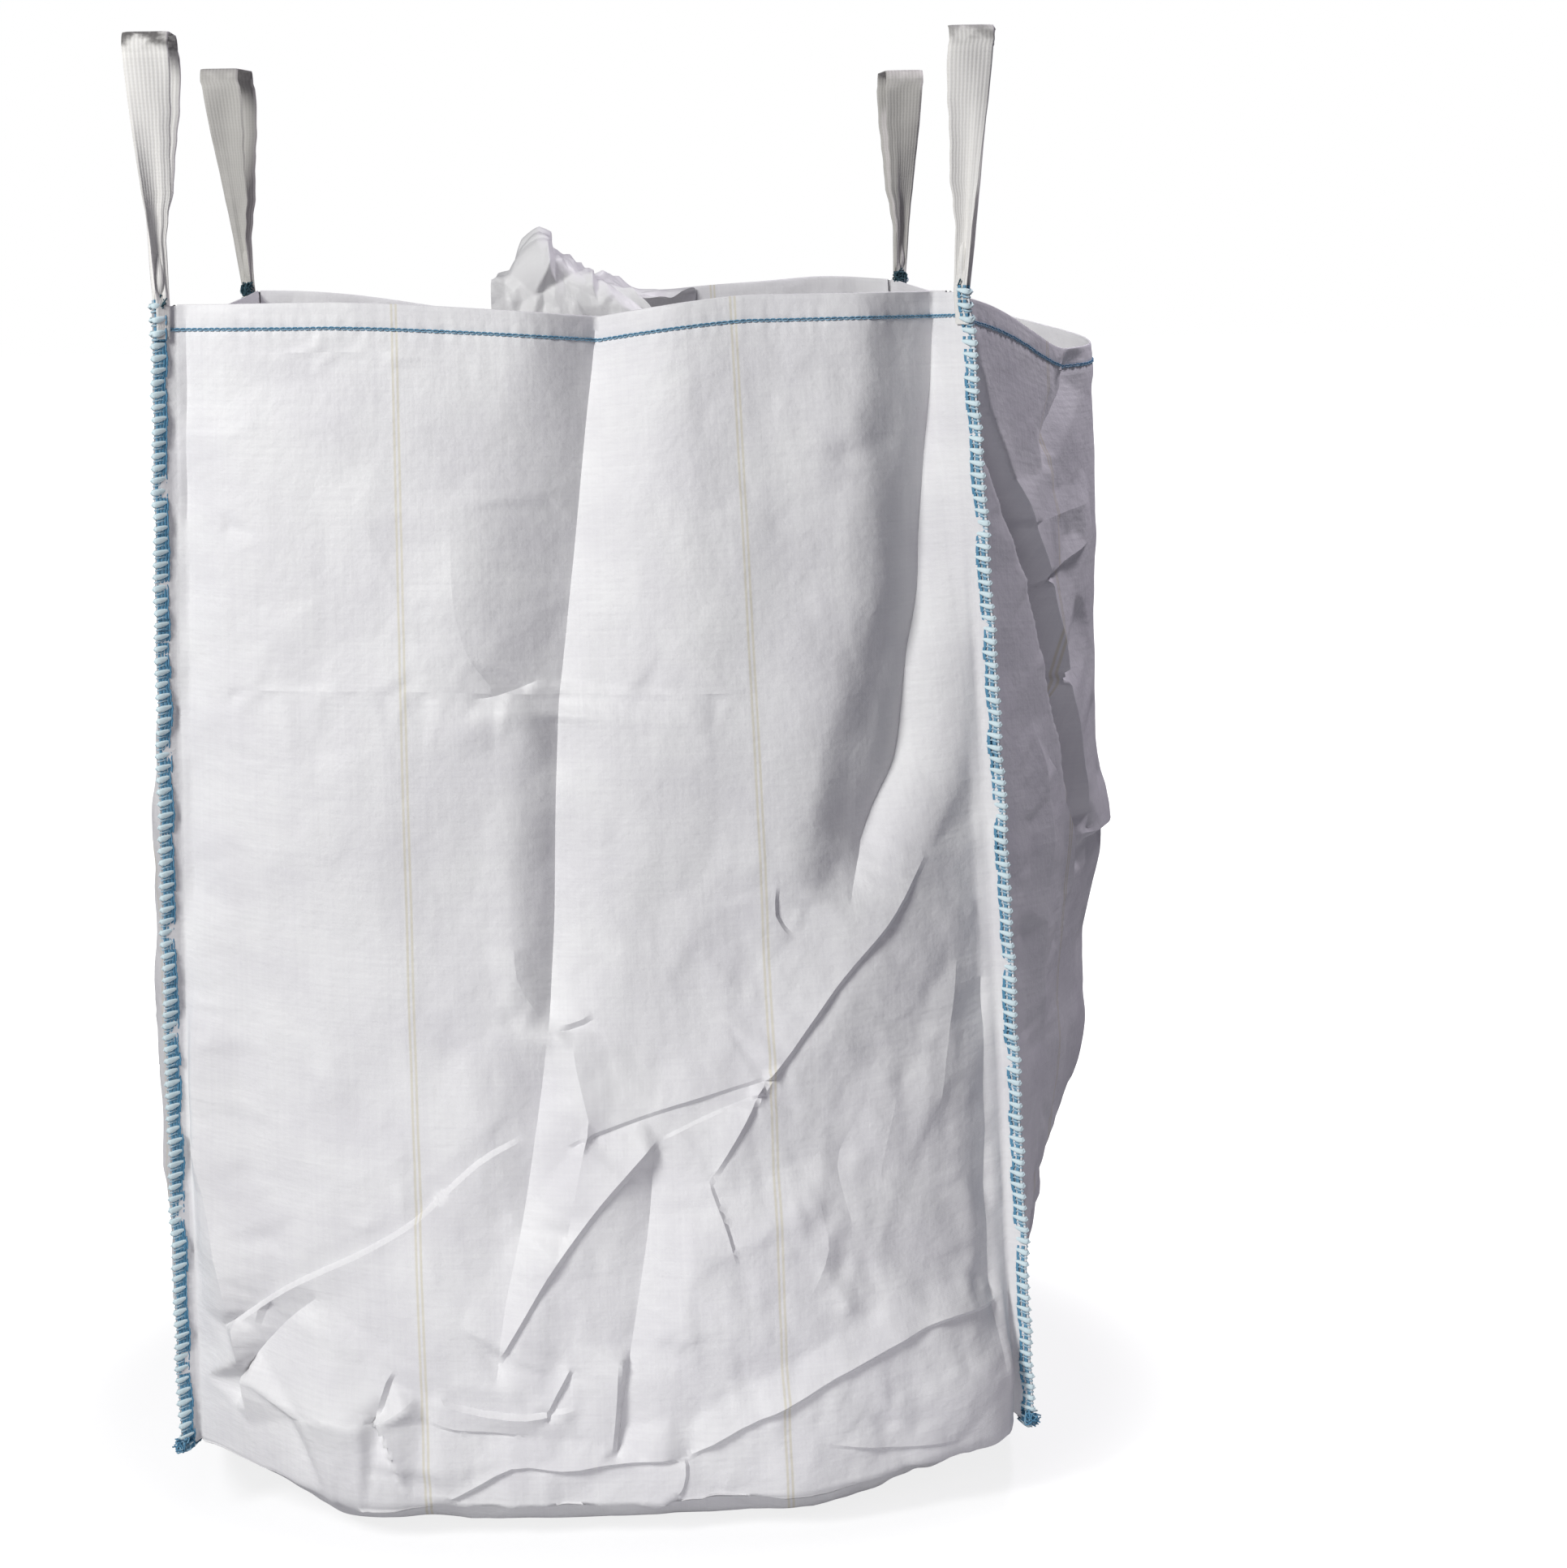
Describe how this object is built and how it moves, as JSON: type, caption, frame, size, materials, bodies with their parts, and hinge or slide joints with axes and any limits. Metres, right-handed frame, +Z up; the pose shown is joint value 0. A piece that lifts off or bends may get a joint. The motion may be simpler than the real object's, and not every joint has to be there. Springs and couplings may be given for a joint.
{
  "type": "antistatic bulk bag",
  "caption": "Large open-topped bulk bag of woven cloth with stitched corner seams and upright webbing lifting loops.",
  "frame": {"origin": "middle of the base, on the floor that the bag stands on", "axes": "+Z up, the front wall towards -Y, +X to the right seen from the front"},
  "size_m": [1.1937, 1.1619, 1.7072],
  "materials": {
    "woven_cloth": "slightly glossy coated tape weave, creased",
    "thin_cloth": "thin translucent cloth, crumpled",
    "webbing": "matt woven webbing, a little dirty",
    "seam_thread": "blue twisted sewing thread"
  },
  "bodies": {
    "root": {"front_base_back_cloth": "woven_cloth", "left_side_cloth": "woven_cloth", "right_side_cloth": "woven_cloth", "crumpled_top_cloth": "thin_cloth", "lifting_loop_front_left": "webbing", "lifting_loop_front_right": "webbing", "lifting_loop_back_left": "webbing", "lifting_loop_back_right": "webbing", "front_left_corner_thread": "seam_thread", "front_right_corner_thread": "seam_thread", "back_left_corner_thread": "seam_thread", "back_right_corner_thread": "seam_thread", "base_left_thread": "seam_thread", "base_right_thread": "seam_thread", "front_hem_thread": "seam_thread", "back_hem_thread": "seam_thread", "left_hem_thread": "seam_thread", "right_hem_thread": "seam_thread"}
  },
  "joints": []
}
